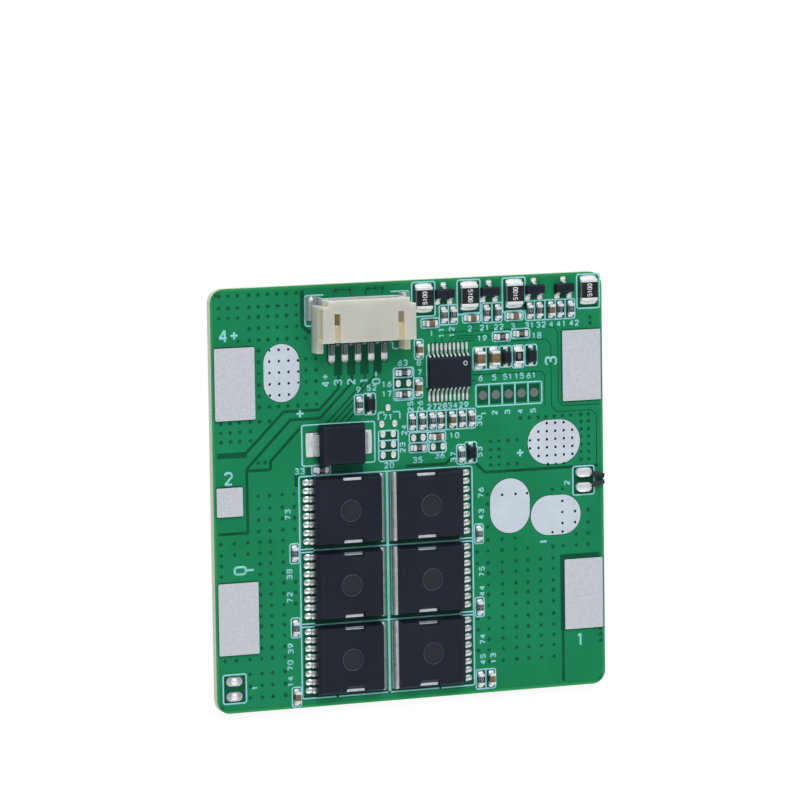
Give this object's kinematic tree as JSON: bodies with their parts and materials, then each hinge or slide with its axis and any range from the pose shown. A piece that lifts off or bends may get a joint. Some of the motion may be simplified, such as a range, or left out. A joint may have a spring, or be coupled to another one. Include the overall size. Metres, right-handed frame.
{
  "type": "battery protection board",
  "caption": "Flat green circuit board with power transistors, a controller, a balance lead socket, weld tabs and wire pads, which guards and balances a pack of cells.",
  "frame": {"origin": "middle of the board's underside", "axes": "+Z out of the component side, +Y toward the edge that the socket's mouth faces"},
  "size_m": [0.06, 0.06, 0.006],
  "materials": {
    "laminate": "glossy solder mask",
    "nickel": "matte plated sheet",
    "tinned_copper": "dull tinned",
    "mould_compound": "fine matte",
    "lead_metal": "satin tin plating",
    "solder": "bright solder",
    "nylon": "satin moulding",
    "ceramic": "fired ceramic",
    "resistor_coat": "glazed",
    "capacitor_ceramic": "fired ceramic",
    "insulation": "satin",
    "conductor": "bare copper"
  },
  "bodies": {
    "root": {"circuit_board": "laminate", "battery_plus_tab": "nickel", "battery_minus_tab": "nickel", "cell_1_tab": "nickel", "cell_2_tab": "nickel", "cell_3_tab": "nickel", "pack_plus_pads": "tinned_copper", "pack_minus_pads": "tinned_copper", "programming_pads": "tinned_copper", "sensor_pads": "solder", "spare_pads": "solder", "mosfet_solder": "solder", "socket_solder": "solder", "part_solder": "solder", "sensor_solder": "solder", "mosfet_1_body": "mould_compound", "mosfet_2_body": "mould_compound", "mosfet_3_body": "mould_compound", "mosfet_4_body": "mould_compound", "mosfet_5_body": "mould_compound", "mosfet_6_body": "mould_compound", "surge_diode_body": "mould_compound", "controller_body": "mould_compound", "balance_switch_1_body": "mould_compound", "balance_switch_2_body": "mould_compound", "balance_switch_3_body": "mould_compound", "balance_switch_4_body": "mould_compound", "clamp_diode_bodies": "mould_compound", "mosfet_1_drain": "lead_metal", "mosfet_2_drain": "lead_metal", "mosfet_3_drain": "lead_metal", "mosfet_4_drain": "lead_metal", "mosfet_5_drain": "lead_metal", "mosfet_6_drain": "lead_metal", "mosfet_1_leads": "lead_metal", "mosfet_2_leads": "lead_metal", "mosfet_3_leads": "lead_metal", "mosfet_4_leads": "lead_metal", "mosfet_5_leads": "lead_metal", "mosfet_6_leads": "lead_metal", "socket_pins": "lead_metal", "socket_anchors": "lead_metal", "surge_diode_leads": "lead_metal", "controller_leads": "lead_metal", "balance_switch_leads": "lead_metal", "balance_resistor_ends": "lead_metal", "resistor_ends": "lead_metal", "capacitor_ends": "lead_metal", "clamp_diode_leads": "lead_metal", "socket_housing": "nylon", "balance_resistor_1": "ceramic", "balance_resistor_2": "ceramic", "balance_resistor_3": "ceramic", "balance_resistor_4": "ceramic", "resistor_bodies": "ceramic", "resistor_coats": "resistor_coat", "capacitor_bodies": "capacitor_ceramic", "sensor_wires": "insulation", "sensor_wire_cores": "conductor"}
  },
  "joints": []
}
